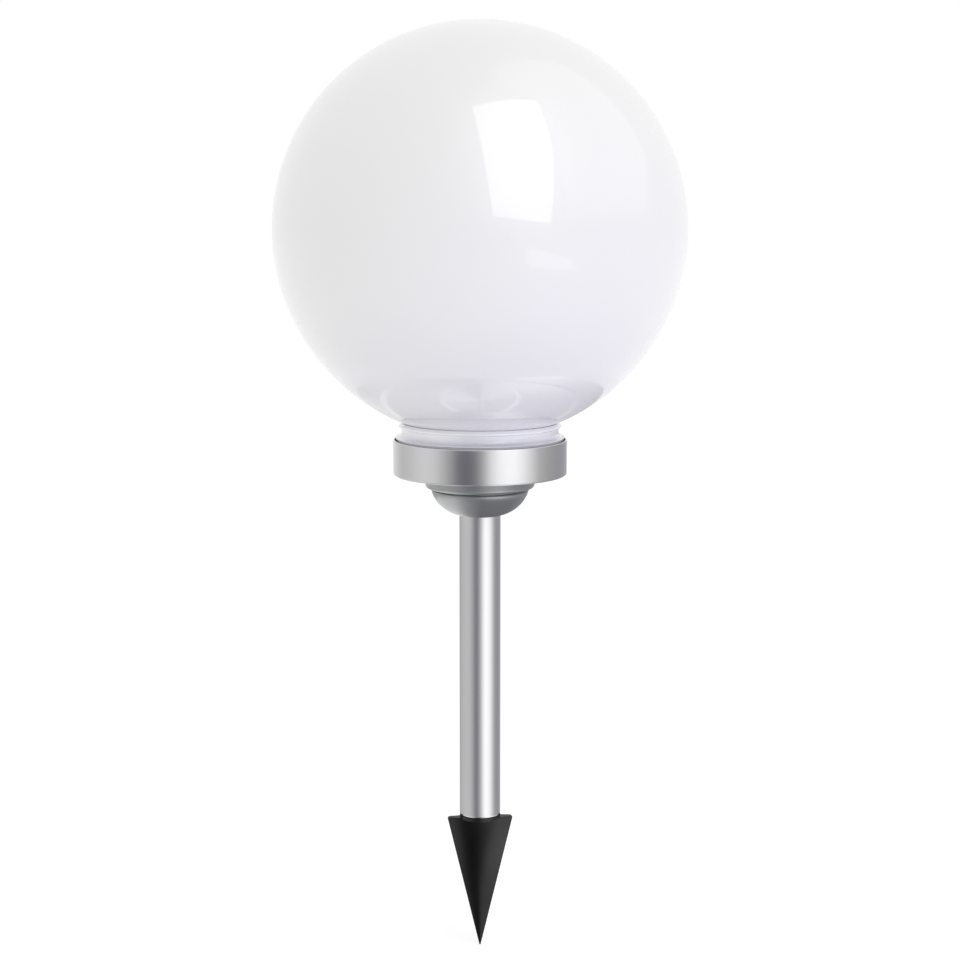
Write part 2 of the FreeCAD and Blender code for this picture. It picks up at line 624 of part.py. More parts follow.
def make_spike():
    """The moulded spike: three tapering wings, a collar under the pole and a spigot inside it."""
    sections = [spike_section(TIP_SHARE, -SPIKE_LENGTH), spike_section(1.0, -WING_DROP)]
    wings = Part.makeLoft(sections, True, True)
    bite = corner_bite(WING_CORNER_RADIUS)
    trim = turned(
        (0.0, -WING_DROP),
        (WING_REACH - WING_CORNER_RADIUS, -WING_DROP),
        ((WING_REACH - bite, -WING_DROP - bite), (WING_REACH, -WING_DROP - WING_CORNER_RADIUS)),
        (WING_REACH, -SPIKE_LENGTH),
        (0.0, -SPIKE_LENGTH),
    )
    wings = wings.common(trim)
    collar = disc(POLE_RADIUS, -COLLAR_HEIGHT, 0.0)
    spigot = turned(
        (SPIGOT_RADIUS - SPIGOT_WALL, 0.0),
        (SPIGOT_RADIUS, 0.0),
        (SPIGOT_RADIUS, SPIGOT_LENGTH - SPIGOT_CHAMFER),
        (SPIGOT_RADIUS - SPIGOT_CHAMFER, SPIGOT_LENGTH),
        (SPIGOT_RADIUS - SPIGOT_WALL, SPIGOT_LENGTH),
    )
    return fused(wings, [collar, spigot])


# ---------------------------------------------------------------- deck, panel and lights


def board_screw_places():
    """The two screws that hold the board, as (x, y)."""
    return [on_circle(BOARD_SCREW_CIRCLE_RADIUS, angle) for angle in (45.0, 225.0)]


def panel_lead_places():
    """The two wires from the panel to the board, as (x, y)."""
    return [(side * PANEL_LEAD_X, PANEL_LEAD_Y) for side in (-1, 1)]


def make_deck():
    """The plate that closes the base and carries the panel and lights."""
    plate = turned(
        (0.0, DECK_PLATE_UNDER),
        (DECK_INNER_RADIUS, DECK_PLATE_UNDER),
        (DECK_INNER_RADIUS, DECK_FLANGE_UNDER),
        (DECK_FLANGE_RADIUS, DECK_FLANGE_UNDER),
        (DECK_FLANGE_RADIUS, DECK_FLANGE_TOP),
        (DECK_PLATFORM_RADIUS, DECK_FLANGE_TOP),
        (DECK_PLATFORM_RADIUS, DECK_TOP),
        (0.0, DECK_TOP),
    )
    bosses = [disc(BOARD_BOSS_RADIUS, BOARD_TOP, DECK_PLATE_UNDER, x, y) for x, y in board_screw_places()]
    recess_half = PANEL_HALF + FIT_CLEARANCE
    openings = [block(-recess_half, recess_half, -recess_half, recess_half, PANEL_UNDER, DECK_TOP)]
    for x, y in board_screw_places():
        openings.append(disc(PILOT_RADIUS, BOARD_TOP, BOARD_TOP + BOARD_SCREW_BITE + SCREW_CLEARANCE, x, y))
    for angle in spread(LED_COUNT):
        x, y = on_circle(LED_CIRCLE_RADIUS, angle)
        openings.append(disc(LED_RADIUS + FIT_CLEARANCE, DECK_PLATE_UNDER, DECK_TOP, x, y))
    for angle in spread(DECK_SCREW_COUNT, 45.0):
        x, y = on_circle(DECK_SCREW_CIRCLE_RADIUS, angle)
        openings.append(disc(THROUGH_RADIUS, DECK_FLANGE_UNDER, DECK_FLANGE_TOP, x, y))
    for x, y in panel_lead_places():
        openings.append(disc(LEAD_RADIUS + HOLE_CLEARANCE, DECK_PLATE_UNDER, PANEL_UNDER, x, y))
    return fused(plate, bosses).cut(openings)


def make_panel_board():
    """The backing board of the solar panel."""
    return centred_block(2 * PANEL_HALF, 2 * PANEL_HALF, PANEL_UNDER, CELL_UNDER)


def make_solar_cells():
    """The silicon strips, side by side on the backing board."""
    strips = []
    for i in range(CELL_COUNT):
        x = CELL_PITCH * (i - (CELL_COUNT - 1) / 2)
        top = CELL_UNDER + CELL_THICKNESS
        strips.append(centred_block(CELL_PITCH - CELL_GAP, CELL_LENGTH, CELL_UNDER, top, x))
    return Part.makeCompound(strips)


def make_panel_window():
    """The clear sheet over the cells."""
    return centred_block(2 * PANEL_HALF, 2 * PANEL_HALF, WINDOW_UNDER, WINDOW_TOP)


def make_panel_frame():
    """The frame that holds the panel's edge down on the deck."""
    body = rounded_block(FRAME_HALF, FRAME_CORNER_RADIUS, DECK_TOP, FRAME_TOP)
    seat_half = PANEL_HALF + FIT_CLEARANCE
    view_half = PANEL_HALF - FRAME_LIP
    seat = block(-seat_half, seat_half, -seat_half, seat_half, DECK_TOP, FRAME_LIP_UNDER)
    return body.cut([seat, block(-view_half, view_half, -view_half, view_half, FRAME_LIP_UNDER, FRAME_TOP)])


def make_leds():
    """The lamps, standing up through the deck, with their legs on the board."""
    lamps = []
    flange_under = LED_FLANGE_TOP - LED_FLANGE_HEIGHT
    body_top = LED_FLANGE_TOP + LED_BODY_HEIGHT
    for angle in spread(LED_COUNT):
        x, y = on_circle(LED_CIRCLE_RADIUS, angle)
        flange = disc(LED_FLANGE_DIAMETER / 2, flange_under, LED_FLANGE_TOP, x, y)
        body = disc(LED_RADIUS, LED_FLANGE_TOP, body_top, x, y)
        dome = Part.makeSphere(LED_RADIUS, Vector(x, y, body_top))
        legs = []
        for side in (-1, 1):
            across = on_circle(side * LED_LEG_SPACING / 2, angle + 90.0)
            legs.append(disc(LED_LEG_DIAMETER / 2, BOARD_TOP, flange_under, x + across[0], y + across[1]))
        lamps.append(fused(flange, [body, dome, *legs]))
    return Part.makeCompound(lamps)


# ---------------------------------------------------------------- board, battery and switch


def make_circuit_board():
    """The round board under the deck."""
    board = disc(BOARD_RADIUS, BOARD_UNDER, BOARD_TOP)
    return board.cut([disc(THROUGH_RADIUS, BOARD_UNDER, BOARD_TOP, x, y) for x, y in board_screw_places()])


def make_board_parts():
    """The charge chip, the coil and a resistor on the board's top."""
    chip = centred_block(CHIP_SIZE[0], CHIP_SIZE[1], BOARD_TOP, BOARD_TOP + CHIP_SIZE[2], *CHIP_PLACE)
    coil = disc(COIL_DIAMETER / 2, BOARD_TOP, BOARD_TOP + COIL_HEIGHT, *COIL_PLACE)
    start = Vector(RESISTOR_PLACE[0], RESISTOR_PLACE[1], BOARD_TOP + RESISTOR_DIAMETER / 2)
    resistor = Part.makeCylinder(RESISTOR_DIAMETER / 2, RESISTOR_LENGTH, start, Vector(1, 0, 0))
    return Part.makeCompound([chip, coil, resistor])


def make_battery():
    """The round cell, lying along X."""
    body_length = BATTERY_LENGTH - BATTERY_NUB_LENGTH
    body_start = Vector(BATTERY_TIP - BATTERY_LENGTH, 0, BATTERY_LEVEL)
    nub_start = Vector(BATTERY_TIP - BATTERY_NUB_LENGTH, 0, BATTERY_LEVEL)
    along = Vector(1, 0, 0)
    body = Part.makeCylinder(BATTERY_RADIUS, body_length, body_start, along)
    return body.fuse(Part.makeCylinder(BATTERY_NUB_DIAMETER / 2, BATTERY_NUB_LENGTH, nub_start, along))


def make_battery_holder():
    """The open tray in the base's well."""
    inner_x, inner_y = HOLDER_INNER_HALF_LENGTH, HOLDER_INNER_HALF_WIDTH
    outer_x, outer_y = inner_x + HOLDER_WALL, inner_y + HOLDER_WALL
    top = BATTERY_LEVEL + HOLDER_WALL_RISE
    tray = block(-outer_x, outer_x, -outer_y, outer_y, WELL_FLOOR, top)
    return tray.cut(block(-inner_x, inner_x, -inner_y, inner_y, HOLDER_FLOOR, top))


def make_battery_contacts():
    """The plate at each end of the battery. The one at the flat end has a raised spring bump."""
    top = BATTERY_LEVEL + CONTACT_TAB_RISE
    far = CONTACT_FACE + CONTACT_THICKNESS
    plus = block(CONTACT_FACE, far, -CONTACT_WIDTH / 2, CONTACT_WIDTH / 2, HOLDER_FLOOR, top)
    minus = block(-far, -CONTACT_FACE, -CONTACT_WIDTH / 2, CONTACT_WIDTH / 2, HOLDER_FLOOR, top)
    bump_start = Vector(-CONTACT_FACE, 0, BATTERY_LEVEL)
    bump = Part.makeCylinder(CONTACT_BUMP_DIAMETER / 2, CONTACT_BUMP_HEIGHT, bump_start, Vector(1, 0, 0))
    return Part.makeCompound([plus, minus.fuse(bump)])


def make_switch_body():
    """The slide switch's case on the base's floor, with room for the knob's shoe."""
    size_x, size_y, size_z = SWITCH_SIZE
    case = centred_block(size_x, size_y, FLOOR_TOP, FLOOR_TOP + size_z, 0.0, SWITCH_RADIUS)
    slot_x = KNOB_SIZE[0] + SWITCH_TRAVEL + 2 * HOLE_CLEARANCE
    slot_y = KNOB_SIZE[1] + 2 * HOLE_CLEARANCE
    room_x = KNOB_SHOE_SIZE[0] + SWITCH_TRAVEL + 2 * HOLE_CLEARANCE
    room_y = KNOB_SHOE_SIZE[1] + 2 * HOLE_CLEARANCE
    room_low = FLOOR_TOP + SWITCH_WALL
    room_high = room_low + KNOB_SHOE_SIZE[2] + 2 * HOLE_CLEARANCE
    slot = centred_block(slot_x, slot_y, FLOOR_TOP, room_low, 0.0, SWITCH_RADIUS)
    return case.cut([slot, centred_block(room_x, room_y, room_low, room_high, 0.0, SWITCH_RADIUS)])


def make_switch_knob():
    """The knob that slides along X in the base's slot, with grip ridges on its face."""
    shoe_low = FLOOR_TOP + SWITCH_WALL + HOLE_CLEARANCE
    shoe_high = shoe_low + KNOB_SHOE_SIZE[2]
    foot = FLOOR_UNDER - KNOB_STAND_OUT
    shoe = centred_block(KNOB_SHOE_SIZE[0], KNOB_SHOE_SIZE[1], shoe_low, shoe_high, KNOB_REST, SWITCH_RADIUS)
    stem = centred_block(KNOB_SIZE[0], KNOB_SIZE[1], foot, shoe_low, KNOB_REST, SWITCH_RADIUS)
    ridges = []
    pitch = KNOB_SIZE[0] / KNOB_RIDGE_COUNT
    for i in range(KNOB_RIDGE_COUNT):
        x = KNOB_REST + pitch * (i - (KNOB_RIDGE_COUNT - 1) / 2)
        ridge_size = (KNOB_RIDGE_SIZE, KNOB_SIZE[1])
        ridges.append(centred_block(*ridge_size, foot - KNOB_RIDGE_SIZE, foot, x, SWITCH_RADIUS))
    return fused(shoe, [stem, *ridges])


# ---------------------------------------------------------------- leads and screws


def make_panel_leads():
    """The two short wires from the panel down to the board."""
    places = panel_lead_places()
    return Part.makeCompound([disc(LEAD_RADIUS, BOARD_TOP, PANEL_UNDER, x, y) for x, y in places])


def make_battery_leads():
    """The wires from the battery's contacts out and up to the board."""
    level = BATTERY_LEVEL + CONTACT_TAB_RISE - LEAD_DIAMETER
    contact_back = CONTACT_FACE + CONTACT_THICKNESS
    leads = []
    for side in (-1, 1):
        start = Vector(side * contact_back, 0, level)
        corner = Vector(side * (contact_back + BATTERY_LEAD_REACH), 0, level)
        leads.append(bent_lead(start, corner, Vector(corner.x, corner.y, BOARD_UNDER)))
    return Part.makeCompound(leads)


def make_switch_leads():
    """The wires from the switch in and up to the board."""
    level = FLOOR_TOP + SWITCH_SIZE[2] / 2
    leads = []
    for side in (-1, 1):
        x = side * SWITCH_LEAD_X
        start = Vector(x, SWITCH_RADIUS - SWITCH_SIZE[1] / 2, level)
        corner = Vector(x, start.y - SWITCH_LEAD_REACH, level)
        leads.append(bent_lead(start, corner, Vector(corner.x, corner.y, BOARD_UNDER)))
    return Part.makeCompound(leads)


def make_deck_screws():
    """The screws that hold the deck on the base's posts."""
    places = [on_circle(DECK_SCREW_CIRCLE_RADIUS, angle) for angle in spread(DECK_SCREW_COUNT, 45.0)]
    return Part.makeCompound([screw(x, y, DECK_FLANGE_TOP, DECK_WALL + SCREW_BITE) for x, y in places])


def make_board_screws():
    """The screws that hold the board up under the deck."""
    bite = BOARD_THICKNESS + BOARD_SCREW_BITE
    return Part.makeCompound([screw(x, y, BOARD_UNDER, bite, -1) for x, y in board_screw_places()])


def make_socket_screws():
    """The screws that hold the dome under the base."""
    places = socket_screw_places()
    return Part.makeCompound([screw(x, y, WELL_FLOOR, BASE_WALL + SCREW_BITE) for x, y in places])


# ---------------------------------------------------------------- output

NODES = {
    "globe": make_globe,
    "globe_neck": make_globe_neck,
    "globe_seal": make_globe_seal,
    "collar_band": make_collar_band,
    "base_cup": make_base_cup,
    "pole_socket": make_pole_socket,
    "pole": make_pole,
    "spike": make_spike,
    "deck": make_deck,
    "panel_board": make_panel_board,
    "solar_cells": make_solar_cells,
    "panel_window": make_panel_window,
    "panel_frame": make_panel_frame,
    "leds": make_leds,
    "circuit_board": make_circuit_board,
    "board_parts": make_board_parts,
    "battery": make_battery,
    "battery_holder": make_battery_holder,
    "battery_contacts": make_battery_contacts,
    "switch_body": make_switch_body,
    "switch_knob": make_switch_knob,
    "panel_leads": make_panel_leads,
    "battery_leads": make_battery_leads,
    "switch_leads": make_switch_leads,
    "deck_screws": make_deck_screws,
    "board_screws": make_board_screws,
    "socket_screws": make_socket_screws,
}

os.makedirs("parts", exist_ok=True)
for name, make in NODES.items():
    shape = make()
    shape.exportStep(f"parts/{name}.step")
    box = shape.BoundBox
    print(f"{name}: {len(shape.Solids)} solids, {shape.Volume:.1f} mm3, valid {shape.isValid()}, "
          f"z {box.ZMin:.2f} to {box.ZMax:.2f}")
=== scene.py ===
# %% [markdown]
# # A garden globe light on a ground spike
# A milky plastic globe stands on a short moulded neck, which is locked into a small base with a brushed band.
# Under the base a satin silver dome takes the pole, and the pole stands on a black plastic spike.
# Inside the globe's mouth lie the solar panel, its lamps, a round board and a battery.
# The solid parts come ready made as a fixed frame. This lesson gives them their camera, light and finishes,
# and models the turned and moulded skins again, with smoother curves and small rounded edges.

import math

import bmesh
import bpy
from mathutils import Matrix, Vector


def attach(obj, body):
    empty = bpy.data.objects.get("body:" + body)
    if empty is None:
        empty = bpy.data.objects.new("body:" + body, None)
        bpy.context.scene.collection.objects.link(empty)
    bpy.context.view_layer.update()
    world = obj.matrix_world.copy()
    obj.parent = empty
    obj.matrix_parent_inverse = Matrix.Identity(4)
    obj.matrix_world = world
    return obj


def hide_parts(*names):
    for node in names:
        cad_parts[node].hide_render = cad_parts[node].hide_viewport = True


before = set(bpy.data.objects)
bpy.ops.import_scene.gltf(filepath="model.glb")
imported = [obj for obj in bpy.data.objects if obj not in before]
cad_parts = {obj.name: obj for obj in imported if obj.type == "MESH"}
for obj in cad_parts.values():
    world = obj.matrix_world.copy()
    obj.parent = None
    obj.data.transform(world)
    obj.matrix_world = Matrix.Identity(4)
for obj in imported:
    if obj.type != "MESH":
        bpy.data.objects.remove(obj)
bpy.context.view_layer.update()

# %% [markdown]
# ## The camera
# The photo is taken from a little above the band, so the band's top edge shows as a shallow ellipse and the
# dome's top as well. The camera stands in front, 1.27 m away, and looks down by 8.4 degrees. Its focal length
# is measured in picture points first, because that is what the photo gives, and then turned into millimetres.

# %% Camera
CAMERA_PLACE = Vector((0.0, -1.27, 0.3994))
CAMERA_TILT = math.radians(8.438)
IMAGE_SIZE = 960
SENSOR_WIDTH = 36.0
FOCAL_PIXELS = 2095.0

camera_data = bpy.data.cameras.new("camera")
camera_data.sensor_width = SENSOR_WIDTH
camera_data.lens = FOCAL_PIXELS * SENSOR_WIDTH / IMAGE_SIZE
camera = bpy.data.objects.new("camera", camera_data)
camera.location = CAMERA_PLACE
camera.rotation_euler = (math.pi / 2 - CAMERA_TILT, 0.0, 0.0)
bpy.context.scene.collection.objects.link(camera)
bpy.context.scene.camera = camera
bpy.context.scene.view_settings.view_transform = "Standard"
print("lens:", round(camera_data.lens, 2))

# %% [markdown]
# ## A small language for finishes
# A finish is a network of nodes. Its arithmetic reads best as plain expressions, so a socket is wrapped in a
# class whose operators add the Math nodes. Every other node comes from one method of the finish.

# %% Sockets as values


class Value:
    """A node's output socket that can be used in an expression."""

    def __init__(self, finish, socket):
        self.finish = finish
        self.socket = socket

    def math(self, operation, *others):
        """A Math node with this value in its first socket."""
        return self.finish.maths(operation, self, *others)

    def __add__(self, other):
        return self.math("ADD", other)

    def __sub__(self, other):
        return self.math("SUBTRACT", other)

    def __rsub__(self, other):
        return self.finish.maths("SUBTRACT", other, self)

    def __mul__(self, other):
        return self.math("MULTIPLY", other)

    def __truediv__(self, other):
        return self.math("DIVIDE", other)

    def __rtruediv__(self, other):
        return self.finish.maths("DIVIDE", other, self)

    __radd__ = __add__
    __rmul__ = __mul__

    def maximum(self, other):
        return self.math("MAXIMUM", other)

    def ramp(self, low, high):
        """0 below low, 1 above high, smooth between."""
        sockets = {"Value": self, "From Min": low, "From Max": high}
        return self.finish.node("ShaderNodeMapRange", {"interpolation_type": "SMOOTHSTEP"}, sockets)


# %% [markdown]
# A finish ends in a Principled surface. Colours are mixed with Mix nodes, and small bumps go through Bump
# nodes with their depth in metres. A Mix node names its sockets for numbers, vectors and colours alike, so
# those for colours are called by their numbers.

# %% The finish
MIX_SHARE, MIX_FIRST, MIX_SECOND = 0, 6, 7
MIX_RESULT = 2


class Finish:
    """A material under construction, or the world's."""

    def __init__(self, name, tree_owner=None):
        self.data = tree_owner or bpy.data.materials.new(name)
        self.data.use_nodes = True
        self.tree = self.data.node_tree
        self.tree.nodes.clear()

    def node(self, kind, settings=None, sockets=None, output=0):
        """Adds a node, sets it up and returns one of its outputs as a Value."""
        made = self.tree.nodes.new(kind)
        for key, value in (settings or {}).items():
            if key == "stops":
                elements = made.color_ramp.elements
                for place, colour in value[1:-1]:
                    elements.new(place)
                for element, (place, colour) in zip(elements, value):
                    element.color = (*colour, 1.0)
            else:
                setattr(made, key, value)
        for key, value in (sockets or {}).items():
            socket = made.inputs[key]
            if isinstance(value, Value):
                self.tree.links.new(value.socket, socket)
            elif socket.type == "RGBA":
                socket.default_value = (*value, 1.0)
            else:
                socket.default_value = value
        return Value(self, made.outputs[output])

    def maths(self, operation, *values):
        """A Math node with its values in order."""
        return self.node("ShaderNodeMath", {"operation": operation}, dict(enumerate(values)))

    def place(self):
        """Object coordinates, in metres."""
        return self.node("ShaderNodeTexCoord", output="Object")

    def parts(self, vector):
        """The x, y and z of a vector."""
        split = self.node("ShaderNodeSeparateXYZ", {}, {0: vector})
        return [Value(self, socket) for socket in split.socket.node.outputs]

    def noise(self, scale, vector=None, detail=3.0, roughness=0.5):
        """Cloudy values round 0.5, where the scale is in waves per metre."""
        vector = vector or self.place()
        sockets = {"Vector": vector, "Scale": scale, "Detail": detail, "Roughness": roughness}
        return self.node("ShaderNodeTexNoise", {}, sockets)

    def stretched(self, x, y, z):
        """Object coordinates scaled apart along the three axes."""
        return self.node("ShaderNodeMapping", {}, {"Vector": self.place(), "Scale": (x, y, z)})

    def mix(self, share, first, second):
        """One colour turning into another as the share goes from 0 to 1."""
        sockets = {MIX_SHARE: share, MIX_FIRST: first, MIX_SECOND: second}
        return self.node("ShaderNodeMix", {"data_type": "RGBA"}, sockets, output=MIX_RESULT)

    def bump(self, height, depth, strength, normal=None):
        """A bump of a depth in metres."""
        sockets = {"Height": height, "Distance": depth, "Strength": strength}
        if normal:
            sockets["Normal"] = normal
        return self.node("ShaderNodeBump", {}, sockets)

    def surface(self, **sockets):
        """Ends the finish with a Principled surface. Socket names are written with low lines for spaces."""
        named = {key.replace("_", " "): value for key, value in sockets.items()}
        self.node_out(self.node("ShaderNodeBsdfPrincipled", {}, named))
        return self.data

    def node_out(self, shader, kind="ShaderNodeOutputMaterial"):
        """Links a shader to the network's output."""
        out = self.tree.nodes.new(kind)
        self.tree.links.new(shader.socket, out.inputs["Surface"])


def shaded(colour, factor):
    """A colour made darker or lighter, and never brighter than white."""
    return tuple(min(c * factor, 1.0) for c in colour)


# %% [markdown]
# ## Turned pieces
# Neck, band and tube are turned about one axis. Each is an outline of (radius, height) points in
# millimetres, spun once round. Many corners get a small arc, because no moulded or rolled edge is perfectly
# sharp. The arcs are put into the outline before it is spun, which is simpler to steer than a bevel of the
# finished ring.

# %% Spinning an outline
MM = 0.001
SPIN_STEPS = 160
ARC_STEPS = 4
FULL_TURN = 2 * math.pi
SHARP_ANGLE = math.radians(32)
MERGE_DISTANCE = 1e-6
ANGLE_PLAY = 1e-6


def finish_mesh(bm, name, body, nodes, material):
    """Turns a bmesh into a finished piece that stands for its nodes and rides on their body."""
    bmesh.ops.remove_doubles(bm, verts=bm.verts, dist=MERGE_DISTANCE)
    bmesh.ops.recalc_face_normals(bm, faces=bm.faces)
    for face in bm.faces:
        face.smooth = True
    for edge in bm.edges:
        edge.smooth = len(edge.link_faces) == 2 and edge.calc_face_angle(0.0) < SHARP_ANGLE
    mesh = bpy.data.meshes.new(name)
    bm.to_mesh(mesh)
    bm.free()
    piece = bpy.data.objects.new(name, mesh)
    bpy.context.scene.collection.objects.link(piece)
    mesh.materials.append(material)
    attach(piece, body)
    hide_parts(*nodes)
    print(name, "faces:", len(mesh.polygons))


def spin_outline(bm, points, angle=FULL_TURN, start_angle=0.0, steps=SPIN_STEPS):
    """Spins a closed outline in millimetres about the upright axis. A part turn gets end faces."""
    turn_x, turn_y = math.cos(start_angle), math.sin(start_angle)
    verts = [bm.verts.new((r * MM * turn_x, r * MM * turn_y, z * MM)) for r, z in points]
    edges = [bm.edges.new((verts[i], verts[(i + 1) % len(verts)])) for i in range(len(verts))]
    whole = abs(angle - FULL_TURN) < ANGLE_PLAY
    faces = []
    if not whole:
        bmesh.ops.contextual_create(bm, geom=edges)
        faces = [face for face in bm.faces if set(face.verts) <= set(verts)]
    bmesh.ops.spin(
        bm, geom=verts + edges + faces, cent=(0, 0, 0), axis=(0, 0, 1), angle=angle, steps=steps,
        use_merge=whole, use_duplicate=False,
    )


def round_corners(points, radii, steps=ARC_STEPS):
    """Replaces chosen corners of an outline by arcs. Radii maps a corner's number to its radius."""
    made = []
    for i, point in enumerate(points):
        radius = radii.get(i, 0.0)
        if not radius:
            made.append(point)
            continue
        here = Vector(point)
        before = (Vector(points[i - 1]) - here).normalized()
        after = (Vector(points[(i + 1) % len(points)]) - here).normalized()
        half = before.angle(after) / 2
        setback = radius / math.tan(half)
        centre = here + (before + after).normalized() * (radius / math.sin(half))
        first, last = here + before * setback - centre, here + after * setback - centre
        sweep = first.angle_signed(last)
        for step in range(steps + 1):
            share = sweep * step / steps
            turned = Vector((
                first.x * math.cos(share) + first.y * math.sin(share),
                first.y * math.cos(share) - first.x * math.sin(share),
            ))
            made.append(tuple(centre + turned))
    return made


# %% [markdown]
# ## The milky plastic
# The globe is glossy over a soft white body with a faint unevenness from the mould. Towards its mouth the
# body
# is painted darker and violet: painted shade on its underside. Light that scatters inside the wall could be
# traced as well, but that came out too dark and slow, so the body is plainly pale and the gloss is a clear
# coat over it. The neck is of the same plastic, painted paler than the globe as painted light in place of the
# glow through the milky wall, with painted shade, darker and violet, at the band's edge, turning pale at the
# bead.

# %% Milky finishes
PLASTIC_IOR = 1.5
CLOUD_SWAY = 0.03
WAVE_DEPTH = 0.0006
SPECKLE_DEPTH = 0.00001


def milky_finish(name, shade_full_below, shade_gone_above, pale, painted_shade_colour):
    """Milky gloss plastic with painted shade below one level and pale above another, both in millimetres."""
    finish = Finish(name)
    height = finish.parts(finish.place())[2]
    cloud = finish.noise(9.0, detail=2.0)
    # The painted shade fades out between the two levels, and its edge wanders with the clouds.
    share = (height + (cloud - 0.5) * CLOUD_SWAY).ramp(shade_full_below * MM, shade_gone_above * MM)
    waviness = finish.noise(14.0, detail=1.0)
    speckle = finish.noise(2600.0, detail=1.0)
    normal = finish.bump(waviness, WAVE_DEPTH, 0.12)
    return finish.surface(
        Base_Color=finish.mix(share, painted_shade_colour, pale), Roughness=0.32 + cloud * 0.06, IOR=PLASTIC_IOR,
        Coat_Weight=1.0, Coat_Roughness=0.03, Coat_IOR=PLASTIC_IOR,
        Normal=finish.bump(speckle, SPECKLE_DEPTH, 0.25, normal),
    )


# The globe's violet grey below 255 mm is painted shade.
globe_opal = milky_finish("globe_opal", 255.0, 330.0, (0.88, 0.88, 0.88), (0.805, 0.80, 0.83))
# The neck's pale is brighter than the globe's: painted light in place of the glow through the milky wall. Its
# violet grey near the band is painted shade.
neck_opal = milky_finish("neck_opal", 237.0, 248.0, (0.97, 0.97, 0.99), (0.60, 0.60, 0.66))
print("finishes:", globe_opal.name, neck_opal.name)

# %% [markdown]
# ## The globe
# The globe could be spun like the turned pieces, but a ball is simplest as a ball: a fine sphere, cut flat at
# its mouth and given its wall.

# %% Globe
GLOBE_RADIUS = 125.0
GLOBE_WALL = 2.0
GLOBE_CENTRE = 362.697
MOUTH_RADIUS = 46.0
GLOBE_MERIDIANS = 192
GLOBE_RINGS = 128

mouth_level = GLOBE_CENTRE - math.sqrt(GLOBE_RADIUS**2 - MOUTH_RADIUS**2)
bm = bmesh.new()
bmesh.ops.create_uvsphere(
    bm, u_segments=GLOBE_MERIDIANS, v_segments=GLOBE_RINGS, radius=GLOBE_RADIUS * MM,
)
bmesh.ops.translate(bm, verts=bm.verts, vec=(0, 0, GLOBE_CENTRE * MM))
bmesh.ops.bisect_plane(
    bm, geom=bm.verts[:] + bm.edges[:] + bm.faces[:], plane_co=(0, 0, mouth_level * MM),
    plane_no=(0, 0, 1), clear_inner=True,
)
bmesh.ops.recalc_face_normals(bm, faces=bm.faces)
bmesh.ops.solidify(bm, geom=bm.faces[:], thickness=GLOBE_WALL * MM)
finish_mesh(bm, "globe_shell", "globe", ["globe"], globe_opal)
print("mouth level:", round(mouth_level, 2))

# %% [markdown]
# ## The neck
# The neck ring is one moulding in the same milky plastic. From the top it has a ring glued into the globe's
# mouth, a bead with a sharp lip, a short wall, a wide flange over the base and a skirt with three lock lugs.
# Heights are counted from the band's top edge, because the flange lies just over it.

# %% Neck
BAND_TOP = 236.4
NECK_OUTLINE = [
    # The ring in the globe's mouth, and its shoulder.
    (38.15, 13.57), (40.15, 13.57), (40.15, 10.07), (46.0, 10.07),
    # A fillet against the globe, the bead with its lip, and the short wall.
    (47.8, 10.7), (49.7, 8.87), (49.7, 8.07), (47.9, 7.47), (47.9, 1.95),
    # The flange, with the seal's groove in its underside.
    (51.6, 1.75), (51.6, 0.9), (50.9, 0.9), (50.9, -2.4), (50.1, -2.4), (50.1, -1.2), (48.3, -1.2),
    (48.3, -2.4),
    # The skirt, and the inside up to the ring again.
    (45.1, -2.4), (45.1, -9.0), (42.9, -9.0), (42.9, 0.0), (45.9, 1.8), (45.9, 6.87), (46.0, 8.07),
    (38.15, 8.07),
]
NECK_ARCS = {4: 0.9, 5: 0.45, 6: 0.35, 7: 0.6, 8: 2.6, 9: 0.35, 10: 0.35, 18: 0.4, 19: 0.4}
LUG_OUTLINE = [(44.9, 227.4), (47.8, 227.4), (47.8, 229.9), (44.9, 229.9)]
LUG_MIDDLES = (90.0, 210.0, 330.0)
LUG_SWEEP = 16.0
LUG_STEPS = 12

bm = bmesh.new()
spin_outline(bm, round_corners([(radius, BAND_TOP + rise) for radius, rise in NECK_OUTLINE], NECK_ARCS))
for middle in LUG_MIDDLES:
    start = math.radians(middle - LUG_SWEEP / 2)
    spin_outline(bm, LUG_OUTLINE, math.radians(LUG_SWEEP), start, LUG_STEPS)
finish_mesh(bm, "neck_ring", "globe", ["globe_neck"], neck_opal)

# %% [markdown]
# ## Brushed metal
# Band and tube are brushed sheet metal. Brushing leaves fine scratches in one direction: round the band, and
# along the tube. Noise squeezed hard along one axis gives such scratches, and they vary the gloss as well.

# %% Brushed metal finishes
STEEL = (0.62, 0.62, 0.63)
STEEL_ROUGHNESS = 0.2
SCRATCH_DEPTH = 0.00002


def brushed_finish(name, colour, along_axis, roughness):
    """Brushed metal, with scratches round the upright axis or along it."""
    finish = Finish(name)
    x, y, z = finish.parts(finish.place())
    waves_round, waves_up = (60.0, 4.0) if along_axis else (1.2, 5200.0)
    across, up = x.math("ARCTAN2", y) * waves_round, z * waves_up
    grain = finish.node("ShaderNodeCombineXYZ", {}, {0: across, 1: up, 2: 0.0})
    scratches = finish.noise(1.0, grain, detail=4.0, roughness=0.7)
    clouds = finish.noise(22.0)
    contrast = (scratches - 0.5) * 0.9 + 0.5
    return finish.surface(
        Base_Color=finish.mix(contrast, shaded(colour, 0.93), shaded(colour, 1.07)), Metallic=1.0,
        Roughness=roughness + (scratches - 0.5) * 0.12 + (clouds - 0.5) * 0.05,
        Normal=finish.bump(scratches, SCRATCH_DEPTH, 0.35),
    )


